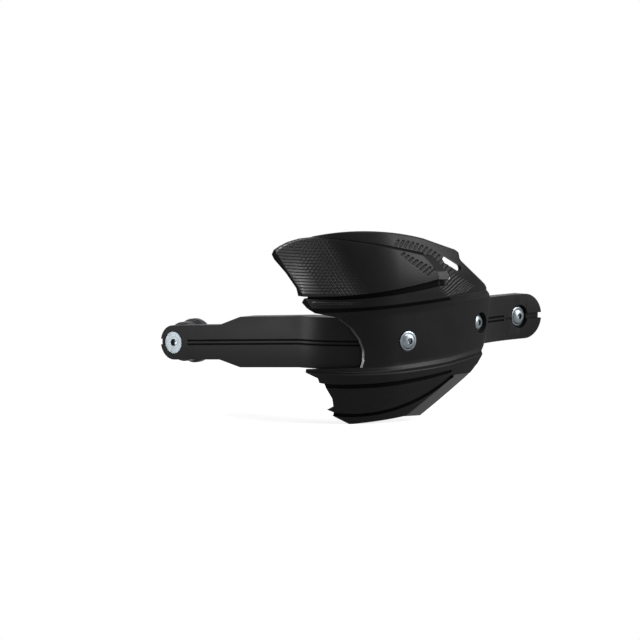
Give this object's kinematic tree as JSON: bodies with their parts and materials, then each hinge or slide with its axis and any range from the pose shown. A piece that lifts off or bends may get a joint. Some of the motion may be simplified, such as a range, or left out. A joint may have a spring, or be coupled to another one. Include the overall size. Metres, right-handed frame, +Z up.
{
  "type": "motorcycle hand guard",
  "caption": "Wrap-round guard for a right-hand grip: a ribbed bar from the handlebar's end to an inner bracket, with a layered wind shield screwed to its front.",
  "frame": {"origin": "centre of the handlebar's end, on the flat back face of the bar-end weight", "axes": "+X inboard along the handlebar, -Y forward, +Z up"},
  "size_m": [0.2087, 0.2076, 0.1339],
  "materials": {
    "bar_plastic": "satin black moulded nylon",
    "shield_plastic": "satin black moulded plastic",
    "zinc_screws": "bluish zinc plate",
    "plain_steel": "satin zinc plate",
    "black_metal": "satin black anodised"
  },
  "bodies": {
    "root": {"guard_bar": "bar_plastic", "wind_shield": "shield_plastic", "bar_end_screw": "zinc_screws", "bar_end_bush": "plain_steel", "bar_end_spacer": "black_metal", "bar_end_weight": "black_metal", "expander_sleeve": "plain_steel", "expander_cone_nut": "plain_steel", "shield_screw_outer": "zinc_screws", "shield_bush_outer": "plain_steel", "shield_washer_outer": "plain_steel", "shield_nut_outer": "plain_steel", "shield_screw_inner": "zinc_screws", "shield_bush_inner": "plain_steel", "shield_washer_inner": "plain_steel", "shield_nut_inner": "plain_steel", "inner_end_screw": "zinc_screws", "inner_end_bush": "plain_steel", "inner_end_spacer": "black_metal"}
  },
  "joints": []
}
